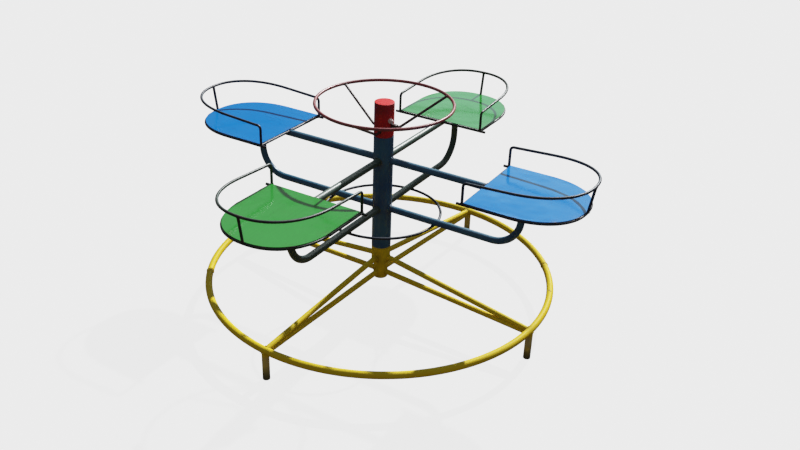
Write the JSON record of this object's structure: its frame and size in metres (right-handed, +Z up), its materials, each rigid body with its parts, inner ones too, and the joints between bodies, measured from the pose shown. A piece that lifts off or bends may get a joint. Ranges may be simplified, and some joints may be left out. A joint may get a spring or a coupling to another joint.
{
  "type": "playground carousel",
  "caption": "Playground carousel: seats with back rails on double arms turn round a fixed post with a handwheel, on a raised pipe ring.",
  "frame": {"origin": "on the ground, on the axis that the seats turn about", "axes": "+Z up; the arms lie along +X, +Y, -X and -Y at rest, blue seats on X and green seats on Y"},
  "size_m": [1.686, 1.686, 0.853],
  "materials": {
    "yellow_paint": "gloss, worn",
    "red_paint": "gloss, worn",
    "navy_paint": "gloss, worn",
    "dark_green_paint": "gloss, worn",
    "navy_rod_paint": "gloss, worn",
    "dark_green_rod_paint": "gloss, worn",
    "blue_seat_paint": "gloss, worn",
    "green_seat_paint": "gloss, worn"
  },
  "bodies": {
    "base": {"base_ring": "yellow_paint", "centre_post": "yellow_paint", "bearing_collar": "yellow_paint", "red_top": "red_paint", "handwheel_ring": "red_paint", "handwheel_spoke_1": "red_paint", "handwheel_spoke_2": "red_paint", "handwheel_spoke_3": "red_paint", "leg_1": "yellow_paint", "leg_2": "yellow_paint", "leg_3": "yellow_paint", "leg_4": "yellow_paint", "upper_strut_1": "yellow_paint", "upper_strut_2": "yellow_paint", "upper_strut_3": "yellow_paint", "upper_strut_4": "yellow_paint", "lower_strut_1": "yellow_paint", "lower_strut_2": "yellow_paint", "lower_strut_3": "yellow_paint", "lower_strut_4": "yellow_paint"},
    "rotor": {"column": "navy_paint", "foot_ring": "navy_paint", "upper_arm_1": "navy_paint", "upper_arm_2": "dark_green_paint", "upper_arm_3": "navy_paint", "upper_arm_4": "dark_green_paint", "lower_arm_1": "navy_paint", "lower_arm_2": "dark_green_paint", "lower_arm_3": "navy_paint", "lower_arm_4": "dark_green_paint", "seat_plate_1": "blue_seat_paint", "seat_plate_2": "green_seat_paint", "seat_plate_3": "blue_seat_paint", "seat_plate_4": "green_seat_paint", "seat_frame_1": "navy_rod_paint", "seat_frame_2": "dark_green_rod_paint", "seat_frame_3": "navy_rod_paint", "seat_frame_4": "dark_green_rod_paint", "seat_rail_1": "navy_rod_paint", "seat_rail_2": "dark_green_rod_paint", "seat_rail_3": "navy_rod_paint", "seat_rail_4": "dark_green_rod_paint", "back_post_1": "navy_rod_paint", "back_post_2": "dark_green_rod_paint", "back_post_3": "navy_rod_paint", "back_post_4": "dark_green_rod_paint"}
  },
  "joints": [
    {"name": "column_turn", "type": "hinge", "parent": "base", "child": "rotor", "pos_m": [0, 0, 0.249], "axis": [0, 0, 1], "continuous": true}
  ]
}
